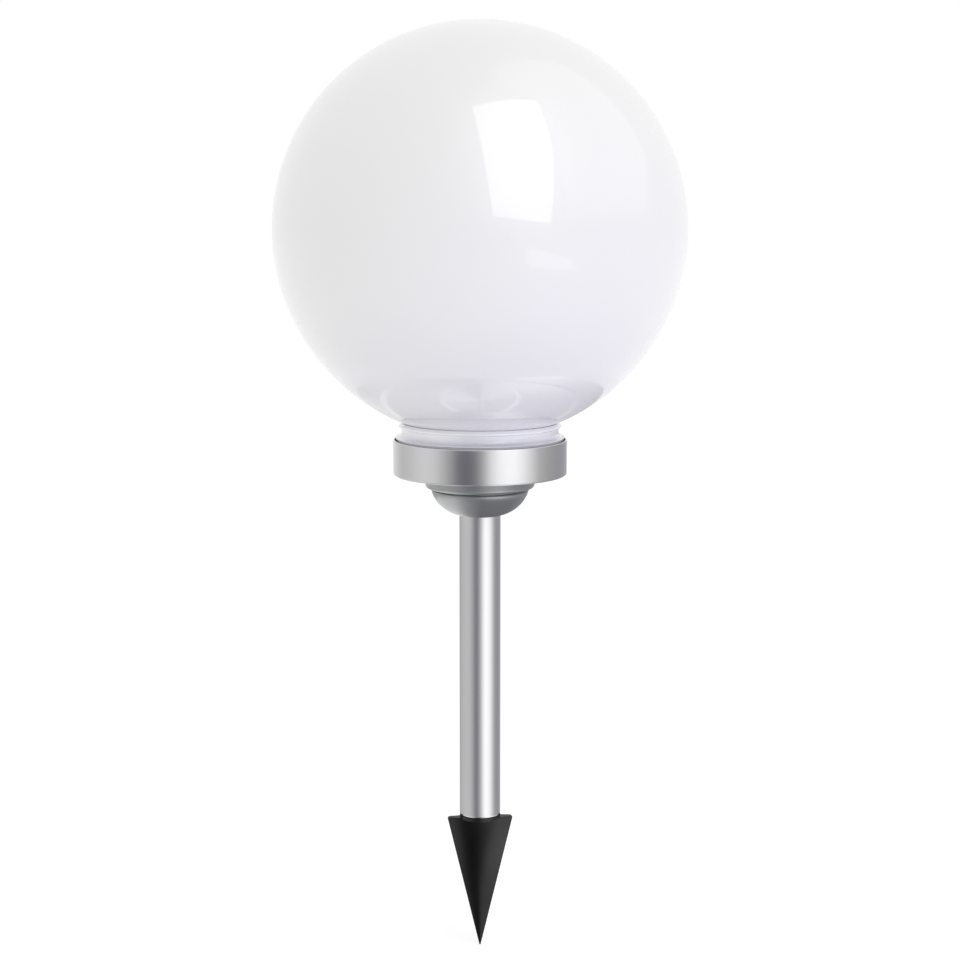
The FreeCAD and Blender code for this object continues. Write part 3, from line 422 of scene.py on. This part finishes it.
band_steel = brushed_finish("band_steel", STEEL, False, STEEL_ROUGHNESS)
pole_steel = brushed_finish("pole_steel", STEEL, True, STEEL_ROUGHNESS)
print("finishes:", band_steel.name, pole_steel.name)

# %% [markdown]
# ## The band and the tube
# The band is a strip rolled in under the base, so its foot has a round edge. The tube is cut square, and its
# cut edges are only just broken. Extra points near the ends keep the long walls straight in their shading.

# %% Band and tube
BAND_OUTLINE = [
    (52.2, BAND_TOP), (53.0, BAND_TOP), (53.0, 235.8), (53.0, 216.2), (53.0, 214.9), (49.8, 214.9),
    (49.8, 215.7), (52.2, 215.7),
]
BAND_ARCS = {0: 0.2, 1: 0.3, 4: 0.9, 5: 0.2, 7: 0.1}
BAND_ARC_STEPS = 5
TUBE_OUTLINE = [(11.9, 0.3), (12.7, 0.3), (12.7, 0.9), (12.7, 205.6), (12.7, 206.2), (11.9, 206.2)]
TUBE_ARCS = {1: 0.2, 4: 0.2}
TUBE_ARC_STEPS = 2

bm = bmesh.new()
spin_outline(bm, round_corners(BAND_OUTLINE, BAND_ARCS, BAND_ARC_STEPS))
finish_mesh(bm, "steel_band", "head", ["collar_band"], band_steel)

bm = bmesh.new()
spin_outline(bm, round_corners(TUBE_OUTLINE, TUBE_ARCS, TUBE_ARC_STEPS))
finish_mesh(bm, "steel_tube", "pole", ["pole"], pole_steel)

# %% [markdown]
# ## Satin silver
# Base and dome are plastic with a satin silver paint: tiny metal flakes in a dull clear coat. The finish is
# part metallic and rough, with a fine grain and a little cloudiness where the paint lies thicker.

# %% Satin silver finish
SILVER = (0.36, 0.37, 0.37)
FLAKE_DEPTH = 0.00002


def silver_finish(name, colour):
    """Satin silver paint on moulded plastic."""
    finish = Finish(name)
    flakes = finish.noise(4200.0, detail=2.0)
    clouds = finish.noise(30.0)
    share = flakes * 0.7 + clouds * 0.3
    return finish.surface(
        Base_Color=finish.mix(share, shaded(colour, 0.88), shaded(colour, 1.12)), Metallic=0.75,
        Roughness=0.36 + (clouds - 0.5) * 0.08, Normal=finish.bump(flakes, FLAKE_DEPTH, 0.3),
    )


base_silver = silver_finish("base_silver", SILVER)
dome_silver = silver_finish("dome_silver", SILVER)
print("finishes:", base_silver.name, dome_silver.name)

# %% [markdown]
# ## Smooth copies of the moulded solids
# Base, dome and spike have holes, posts and wings that a spin can't give, and their solids already have the
# right shape. A copy of the solid's mesh is merged, so that its curved faces can be shaded smoothly.

# %% Copies
COPY_MERGE_DISTANCE = 2e-6
TINY_EDGE = 1e-7


def smooth_copy(node, name, body, material):
    """A merged copy of a solid's mesh, smooth over its curves and sharp at its corners."""
    bm = bmesh.new()
    bm.from_mesh(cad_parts[node].data)
    bmesh.ops.remove_doubles(bm, verts=bm.verts, dist=COPY_MERGE_DISTANCE)
    bmesh.ops.dissolve_degenerate(bm, dist=TINY_EDGE, edges=bm.edges)
    finish_mesh(bm, name, body, [node], material)


smooth_copy("base_cup", "base_body", "head", base_silver)
smooth_copy("pole_socket", "socket_dome", "head", dome_silver)

# %% [markdown]
# ## The spike's black plastic
# The spike is moulded in black plastic with a soft sheen. Its wings show faint flow marks that run down
# towards the tip, and the grain of a cheap mould. Noise stretched along the axis gives the flow marks.

# %% Spike
SPIKE_BLACK = (0.002, 0.002, 0.002)
BLACK_GRAIN_DEPTH = 0.00003


def black_finish(name, colour, roughness):
    """Black moulded plastic with a fine grain and faint flow marks."""
    finish = Finish(name)
    flow = finish.noise(26.0, finish.stretched(1.0, 1.0, 0.12))
    fine = finish.noise(1800.0, detail=2.0)
    return finish.surface(
        Base_Color=finish.mix(flow, shaded(colour, 0.8), shaded(colour, 1.25)),
        Roughness=roughness + (flow - 0.5) * 0.1, Specular_IOR_Level=0.4,
        Normal=finish.bump(fine, BLACK_GRAIN_DEPTH, 0.35),
    )


spike_black = black_finish("spike_black", SPIKE_BLACK, 0.26)
smooth_copy("spike", "ground_spike", "stake", spike_black)

# %% [markdown]
# ## What shows when the globe is lifted
# The deck is plain white plastic. The solar panel has dark blue strips with thin silver lines under a clear
# sheet, in a black frame, and the small lamps stand round it. These solids keep their own meshes, because
# they are small and mostly hidden, and only get their finishes.

# %% Plastics and metals of the inside
MOULD_GRAIN_DEPTH = 0.00002
WEAR_DEPTH = 0.00002


def moulded_finish(name, colour, roughness, grain=0.3, coat=0.0):
    """Plain moulded or sleeved plastic, slightly uneven in colour and gloss."""
    finish = Finish(name)
    clouds = finish.noise(60.0)
    fine = finish.noise(2400.0, detail=2.0)
    return finish.surface(
        Base_Color=finish.mix(clouds, shaded(colour, 0.94), shaded(colour, 1.06)), Coat_Weight=coat,
        Roughness=roughness + (clouds - 0.5) * 0.1, Normal=finish.bump(fine, MOULD_GRAIN_DEPTH, grain),
    )


def metal_finish(name, colour, roughness=0.3):
    """Plated metal with fine wear."""
    finish = Finish(name)
    wear = finish.noise(700.0)
    return finish.surface(
        Base_Color=finish.mix(wear, shaded(colour, 0.85), colour), Metallic=1.0,
        Roughness=roughness + (wear - 0.5) * 0.2, Normal=finish.bump(wear, WEAR_DEPTH, 0.3),
    )


# %% [markdown]
# The silver lines are drawn by what is left when a coordinate is divided by their spacing. The crystals of
# the silicon are the cells of a Voronoi pattern, each with its own shade of blue.

# %% Cells and clear sheets
CLEAR_PLASTIC_IOR = 1.49
LINES_PER_METRE = 500.0
LINE_SHARE = 0.09


def cell_finish(name):
    """Silicon strips, crossed by fine silver lines and shaded by their crystals."""
    finish = Finish(name)
    depth = finish.parts(finish.place())[1]
    lines = (depth * LINES_PER_METRE).math("FRACT").math("LESS_THAN", LINE_SHARE)
    sockets = {"Vector": finish.place(), "Scale": 260.0}
    crystals = finish.node("ShaderNodeTexVoronoi", {}, sockets, output="Color")
    blue = finish.mix(finish.parts(crystals)[0], (0.010, 0.016, 0.055), (0.020, 0.032, 0.110))
    return finish.surface(
        Base_Color=finish.mix(lines, blue, (0.55, 0.56, 0.58)), Metallic=lines * 0.9, Roughness=0.28,
        Coat_Weight=0.6,
    )


def clear_finish(name, tint, roughness=0.05):
    """Clear plastic with faint wipe marks."""
    finish = Finish(name)
    wipes = finish.noise(90.0, finish.stretched(1.0, 0.2, 1.0))
    return finish.surface(
        Base_Color=finish.mix(wipes, tint, shaded(tint, 0.97)), Roughness=roughness + wipes * 0.05,
        Transmission_Weight=1.0, IOR=CLEAR_PLASTIC_IOR,
    )


# %% [markdown]
# Each solid of the inside gets one finish, and the three groups of screws share theirs.

# %% Inner finishes
INNER_BLACK = (0.02, 0.02, 0.02)
INNER_FINISHES = {
    "globe_seal": moulded_finish("seal_rubber", (0.05, 0.05, 0.05), 0.75),
    "deck": moulded_finish("deck_white", (0.80, 0.80, 0.79), 0.42),
    "panel_board": moulded_finish("panel_backing", (0.70, 0.70, 0.66), 0.5),
    "solar_cells": cell_finish("cell_blue"),
    "panel_window": clear_finish("window_clear", (0.97, 0.98, 0.98)),
    "panel_frame": black_finish("frame_black", INNER_BLACK, 0.4),
    "leds": clear_finish("led_clear", (0.97, 0.95, 0.80), 0.08),
    "circuit_board": moulded_finish("board_green", (0.02, 0.16, 0.06), 0.35, coat=0.4),
    "board_parts": moulded_finish("component_black", (0.03, 0.03, 0.03), 0.5),
    "battery": moulded_finish("battery_sleeve", (0.06, 0.28, 0.14), 0.3, 0.1, coat=0.5),
    "battery_holder": black_finish("holder_black", INNER_BLACK, 0.5),
    "battery_contacts": metal_finish("contact_nickel", (0.72, 0.70, 0.66), 0.25),
    "switch_body": black_finish("switch_black", INNER_BLACK, 0.45),
    "switch_knob": black_finish("knob_black", INNER_BLACK, 0.5),
    "panel_leads": moulded_finish("lead_red", (0.50, 0.02, 0.02), 0.45),
    "battery_leads": moulded_finish("lead_black", INNER_BLACK, 0.45),
    "switch_leads": moulded_finish("lead_yellow", (0.70, 0.50, 0.04), 0.45),
    "deck_screws": metal_finish("screw_zinc", (0.66, 0.66, 0.64)),
}
INNER_FINISHES["board_screws"] = INNER_FINISHES["socket_screws"] = INNER_FINISHES["deck_screws"]

for node, material in INNER_FINISHES.items():
    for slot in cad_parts[node].material_slots:
        slot.material = material
print("inner finishes:", len(INNER_FINISHES))

# %% [markdown]
# ## Floor and background
# The floor is plain and pale, and the world behind it is plain white to the eye and in gloss and glass. On
# soft surfaces the world counts for less, so that lamps can model the form. The floor gets a little extra
# light to the eye, so that it meets the white background, and keeps its shadow.

# %% Floor and world
FLOOR_LEVEL = -0.0863
FLOOR_HALF_WIDTH = 6.0
FLOOR_LIFT = 0.25
WORLD_SOFT_LEVEL = 0.84


def stage_piece(name, bm, material):
    """A thing of the studio that is no part of the light."""
    mesh = bpy.data.meshes.new(name)
    bm.to_mesh(mesh)
    bm.free()
    piece = bpy.data.objects.new(name, mesh)
    bpy.context.scene.collection.objects.link(piece)
    mesh.materials.append(material)
    return piece


def seen_plainly(finish):
    """1 where the eye, a gloss or a clear piece looks at a surface, 0 where it only lights others."""
    path = finish.node("ShaderNodeLightPath")
    paths = {socket.name: Value(finish, socket) for socket in path.socket.node.outputs}
    return paths["Is Camera Ray"].maximum(paths["Is Glossy Ray"]).maximum(paths["Is Transmission Ray"])


floor_finish = Finish("floor_paper")
grain = floor_finish.noise(40.0)
lift = floor_finish.mix(seen_plainly(floor_finish), (0.0, 0.0, 0.0), (FLOOR_LIFT, FLOOR_LIFT, FLOOR_LIFT))
floor_paper = floor_finish.surface(
    Base_Color=floor_finish.mix(grain, (0.93, 0.93, 0.93), (0.95, 0.95, 0.95)), Roughness=0.9,
    Specular_IOR_Level=0.0, Emission_Color=lift, Emission_Strength=1.0,
)
bm = bmesh.new()
bmesh.ops.create_grid(bm, x_segments=1, y_segments=1, size=FLOOR_HALF_WIDTH)
bmesh.ops.translate(bm, verts=bm.verts, vec=(0, 0, FLOOR_LEVEL))
stage_piece("floor", bm, floor_paper)

world = bpy.data.worlds.new("studio")
bpy.context.scene.world = world
sky = Finish("studio", world)
level = seen_plainly(sky) * (1.0 - WORLD_SOFT_LEVEL) + WORLD_SOFT_LEVEL
background = sky.node("ShaderNodeBackground", {}, {"Color": (1, 1, 1), "Strength": level})
sky.node_out(background, "ShaderNodeOutputWorld")
print("floor level:", FLOOR_LEVEL, "world on soft surfaces:", WORLD_SOFT_LEVEL)

# %% [markdown]
# ## Lamps
# One broad soft lamp stands high at the right, in front. A small violet one low at the right tints the
# globe's underside. Neither shows in the gloss, because the cards below stand for what the gloss mirrors.

# %% Lamps


def soft_lamp(name, place, aim, width, watts, colour=(1.0, 1.0, 1.0)):
    """A square lamp that lights the object but doesn't show in its gloss."""
    data = bpy.data.lights.new(name, "AREA")
    data.size = width
    data.energy = watts
    data.color = colour
    lamp = bpy.data.objects.new(name, data)
    lamp.location = place
    lamp.rotation_euler = (Vector(aim) - Vector(place)).to_track_quat("-Z", "Y").to_euler()
    lamp.visible_camera = False
    lamp.visible_glossy = False
    bpy.context.scene.collection.objects.link(lamp)
    print(name, "watts:", watts)


soft_lamp("high_lamp", (1.5, -1.5, 1.9), (0.0, 0.0, 0.3), 1.6, 8.0)
soft_lamp("low_lamp", (0.45, -0.55, -0.03), (0.03, 0.0, 0.25), 0.3, 0.6, (0.35, 0.25, 1.0))

# %% [markdown]
# ## Window cards
# The photo's studio shows in the globe's gloss as a bright window and a dimmer one high at the right, and a
# small patch under them. Each is a lit card, hung where the globe mirrors it to a chosen picture point.
# A mirror point on a ball is found from the picture: the ray through a picture point meets the globe, turns
# about the surface's normal, and runs on to where the card hangs.

# %% Window cards
CARD_DISTANCE = 1.5
WINDOWS = (
    ("bright_window", 3.0, [
        (472, 107), (504, 101), (537, 101), (550, 141), (554, 183), (550, 223), (521, 220), (493, 216),
        (486, 166),
    ]),
    ("dim_window", 1.35, [
        (493, 66), (554, 62), (611, 101), (644, 155), (644, 214), (568, 218), (560, 160), (545, 100),
        (500, 90),
    ]),
    ("low_window", 2.0, [(527, 247), (569, 258), (588, 284), (585, 292), (546, 303), (527, 272)]),
)


def mirrored_point(px, py):
    """Where a card must be for the globe to mirror it at a picture point."""
    across, up = px - IMAGE_SIZE / 2, IMAGE_SIZE / 2 - py
    forward = Vector((0, math.cos(CAMERA_TILT), -math.sin(CAMERA_TILT)))
    upward = Vector((0, math.sin(CAMERA_TILT), math.cos(CAMERA_TILT)))
    ray = (forward * FOCAL_PIXELS + Vector((1, 0, 0)) * across + upward * up).normalized()
    centre = Vector((0, 0, GLOBE_CENTRE * MM))
    to_globe = centre - CAMERA_PLACE
    nearest = to_globe.dot(ray)
    inside = (GLOBE_RADIUS * MM) ** 2 - (to_globe.length_squared - nearest**2)
    hit = CAMERA_PLACE + ray * (nearest - math.sqrt(max(inside, 0.0)))
    return hit + ray.reflect((hit - centre).normalized()) * CARD_DISTANCE


def glow(name, strength):
    """The plain light of a lit card."""
    finish = Finish(name)
    finish.node_out(finish.node("ShaderNodeEmission", {}, {"Color": (1, 1, 1), "Strength": strength}))
    return finish.data


def gloss_only(card):
    """Shows a card in gloss and nowhere else."""
    card.visible_camera = False
    card.visible_diffuse = False
    card.visible_shadow = False
    card.visible_transmission = False


for name, strength, picture_points in WINDOWS:
    bm = bmesh.new()
    corners = [bm.verts.new(mirrored_point(*point)) for point in picture_points]
    bmesh.ops.contextual_create(bm, geom=corners)
    gloss_only(stage_piece(name, bm, glow(name, strength)))
    print(name, "corners:", len(corners))

# %% [markdown]
# ## Streak cards
# Metal looks like metal only when it has something to mirror. Cards stand in a ring close round the pole,
# 100 mm from the axis and mostly under the globe, so that its own gloss stays nearly as it is. They are
# studio light and no part of the object: the camera doesn't see them, and they show in gloss only. Each
# storey of the ring serves one piece: the spike, the tube, the step, the band or the neck. Its light and dark
# stripes are stops of a ramp that runs round the axis.

# %% A card with stripes
RING_RADIUS = 0.10
RING_SEGMENTS = 96
CARD_LIGHT = 2.0
VIOLET_BELOW = 0.45
GREY = (1.0, 1.0, 1.0)
VIOLET = (0.98, 0.96, 1.08)
DEGREES_ROUND = 360.0


def streaks(name, stripes):
    """A card's light that changes round the upright axis. Stripes are (degrees from the front, level)."""
    finish = Finish(name)
    x, y, z = finish.parts(finish.place())
    share = x.math("ARCTAN2", 0.0 - y) / FULL_TURN + 0.5
    stops = []
    for angle, level in stripes:
        tint = VIOLET if level < VIOLET_BELOW else GREY
        stops.append((angle / DEGREES_ROUND + 0.5, tuple(level * c / CARD_LIGHT for c in tint)))
    colour = finish.node("ShaderNodeValToRGB", {"stops": stops}, {0: share})
    finish.node_out(finish.node("ShaderNodeEmission", {}, {"Color": colour, "Strength": CARD_LIGHT}))
    return finish.data


def ring_card(name, low, high, stripes, radii=(RING_RADIUS, RING_RADIUS)):
    """One storey of the ring, or with two radii and one level a flat ring."""
    bm = bmesh.new()
    foot = bmesh.ops.create_circle(bm, cap_ends=False, segments=RING_SEGMENTS, radius=radii[0])["verts"]
    bmesh.ops.translate(bm, verts=foot, vec=(0, 0, low))
    made = bmesh.ops.extrude_edge_only(bm, edges=bm.edges[:])["geom"]
    top = [v for v in made if isinstance(v, bmesh.types.BMVert)]
    bmesh.ops.scale(bm, verts=top, vec=(radii[1] / radii[0], radii[1] / radii[0], 1.0))
    bmesh.ops.translate(bm, verts=top, vec=(0, 0, high - low))
    gloss_only(stage_piece(name, bm, streaks(name, stripes)))
    print(name, "stripes:", len(stripes))


# %% [markdown]
# A storey is given by its foot and its stripes, and it ends where the next one starts. The stripes' levels
# were found by comparing the picture with the photo, storey by storey.

# %% The ring's storeys
RING_TOP = 0.255
STOREYS = (
    ("tip_card", FLOOR_LEVEL, [
        (-180, 1.0), (-60, 1.6), (-36, 0.9), (-22, 0.15), (-10, 0.02), (5, 0.02), (14, 0.4), (26, 1.7),
        (60, 2.0), (180, 1.0),
    ]),
    ("spike_card", -0.064, [
        (-180, 1.0), (-60, 1.6), (-36, 1.1), (-22, 0.15), (-10, 0.02), (14, 0.02), (26, 0.3), (40, 1.6),
        (60, 1.7), (180, 1.0),
    ]),
    ("tube_card", -0.043, [
        (-180, 0.62), (-155, 0.50), (-123, 0.65), (-104, 0.73), (-80, 0.78), (-60, 0.76), (-47, 0.66),
        (-35, 0.48), (-24, 0.31), (-14, 0.31), (-4, 0.50), (8, 0.88), (18, 1.35), (29, 1.62), (42, 1.52),
        (53, 1.38), (65, 1.05), (78, 0.65), (92, 0.46), (112, 0.43), (136, 0.50), (180, 0.62),
    ]),
    ("step_card", 0.186, [
        (-180, 0.9), (-115, 1.1), (-92, 1.2), (-72, 1.0), (-58, 0.8), (-44, 0.6), (-18, 0.30), (6, 0.15),
        (55, 0.12), (70, 0.2), (88, 0.4), (110, 0.6), (180, 0.9),
    ]),
    ("band_card", 0.199, [
        (-180, 0.75), (-122, 0.90), (-96, 0.72), (-80, 0.80), (-67, 0.90), (-56, 0.94), (-46, 0.89),
        (-37, 0.69), (-29, 0.49), (-21, 0.26), (-13, 0.20), (-5, 0.27), (2, 0.50), (10, 1.02), (18, 1.36),
        (26, 1.47), (34, 1.50), (43, 1.28), (52, 1.0), (63, 0.64), (75, 0.53), (89, 0.46), (110, 0.44),
        (180, 0.75),
    ]),
    ("neck_card", 0.236, [(-180, 1.0), (14, 1.0), (22, 2.0), (38, 2.0), (48, 1.0), (180, 1.0)]),
)

storey_tops = [foot for name, foot, stripes in STOREYS[1:]] + [RING_TOP]
for (name, foot, stripes), top in zip(STOREYS, storey_tops):
    ring_card(name, foot, top, stripes)

# %% [markdown]
# Two flat rings with stripes serve the faces that look down. One hangs just under the dome, round the tube,
# and one lies a hair over the floor.

# %% The flat rings
DOME_CARD_LEVEL = 0.1895
DOME_CARD_RADII = (0.044, 0.0135)
FOOT_CARD_LEVEL = FLOOR_LEVEL + 0.0004
FOOT_CARD_RADII = (0.0995, 0.002)

ring_card("dome_card", DOME_CARD_LEVEL, DOME_CARD_LEVEL, [
    (-180, 0.3), (-130, 0.6), (-100, 1.4), (-50, 1.3), (-25, 0.5), (0, 0.15), (60, 0.2), (90, 0.4),
    (180, 0.3),
], DOME_CARD_RADII)
ring_card("foot_card", FOOT_CARD_LEVEL, FOOT_CARD_LEVEL, [
    (-180, 0.40), (-120, 0.8), (-95, 1.3), (-55, 1.0), (-25, 0.2), (0, 0.1), (15, 1.0), (60, 1.2), (100, 0.5),
    (180, 0.40),
], FOOT_CARD_RADII)
